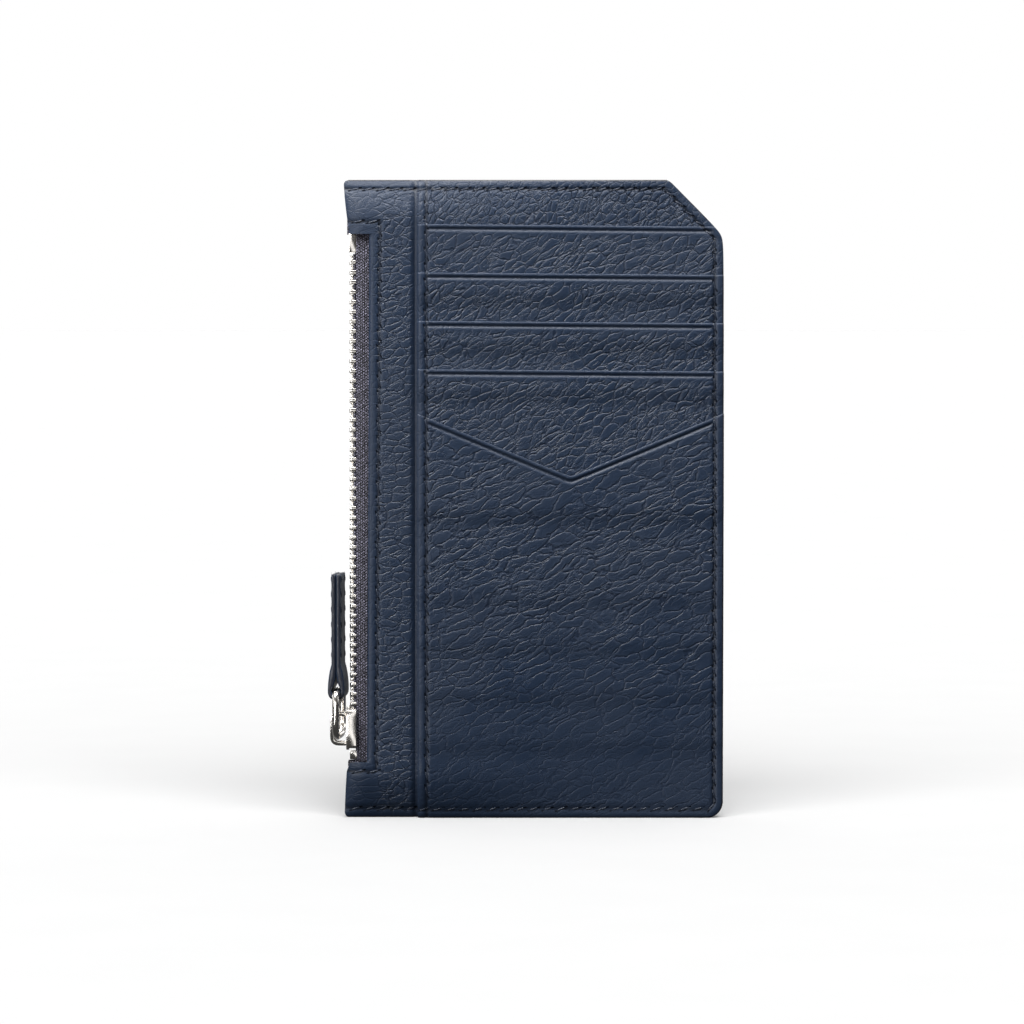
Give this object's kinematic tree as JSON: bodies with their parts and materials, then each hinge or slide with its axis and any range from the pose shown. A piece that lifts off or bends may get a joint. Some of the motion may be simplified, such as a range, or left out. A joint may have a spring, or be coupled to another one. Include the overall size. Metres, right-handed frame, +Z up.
{
  "type": "zipped card holder",
  "caption": "Slim upright leather card holder with four stepped card slots, a V-edged front pocket and a side coin pocket closed by a metal zip with a leather puller.",
  "frame": {"origin": "middle of the holder's overall width and depth, on the plane where the two panels meet, at its bottom edge", "axes": "+Z up the holder, +X to the right seen from the card side, -Y out of the card side; the zip runs down the -X edge"},
  "size_m": [0.0802, 0.0127, 0.13],
  "materials": {
    "navy_leather": "pebbled, semi-matt",
    "pocket_lining": "fine twill",
    "zip_tape": "woven",
    "nickel": "polished nickel plate",
    "thread": "waxed thread",
    "edge_paint": "painted edge, satin"
  },
  "bodies": {
    "holder": {"front_panel": "navy_leather", "back_panel": "navy_leather", "card_base": "navy_leather", "slot_strip_1": "navy_leather", "slot_strip_2": "navy_leather", "slot_strip_3": "navy_leather", "slot_strip_4": "navy_leather", "v_pocket": "navy_leather", "front_lining": "pocket_lining", "back_lining": "pocket_lining", "slot_lining_1": "pocket_lining", "slot_lining_2": "pocket_lining", "slot_lining_3": "pocket_lining", "slot_lining_4": "pocket_lining", "zip_tape_front": "zip_tape", "zip_tape_back": "zip_tape", "zip_bottom_stop": "nickel", "zip_top_stop_front": "nickel", "zip_top_stop_back": "nickel"},
    "row_front": {"zip_teeth_front": "nickel"},
    "row_back": {"zip_teeth_back": "nickel"},
    "slider": {"slider_body": "nickel", "slider_bridge": "nickel"},
    "ring": {"pull_ring": "nickel"},
    "puller": {"puller_strap": "navy_leather"}
  },
  "joints": [
    {"name": "zip_slide", "type": "slide", "parent": "holder", "child": "slider", "axis": [0, 0, 1], "range_m": [0, 0.092], "deforming": ["zip_teeth_front", "zip_teeth_back"]},
    {"name": "mouth_front", "type": "slide", "parent": "holder", "child": "row_front", "axis": [0, -1, 0], "range_m": [0, 0.001]},
    {"name": "mouth_back", "type": "slide", "parent": "holder", "child": "row_back", "axis": [0, 1, 0], "range_m": [0, 0.001]},
    {"name": "ring_swing", "type": "hinge", "parent": "slider", "child": "ring", "pos_m": [-0.03835, 0, 0.01672], "axis": [-0.0872, -0.9962, 0], "range_deg": [0, 115]},
    {"name": "puller_swing", "type": "hinge", "parent": "ring", "child": "puller", "pos_m": [-0.03835, 0, 0.02598], "axis": [-0.0872, -0.9962, 0], "range_deg": [0, 60]}
  ],
  "couplings": [
    {"joint": "mouth_front", "follows": "zip_slide", "ratio": 0.01086},
    {"joint": "mouth_back", "follows": "zip_slide", "ratio": 0.01086}
  ]
}
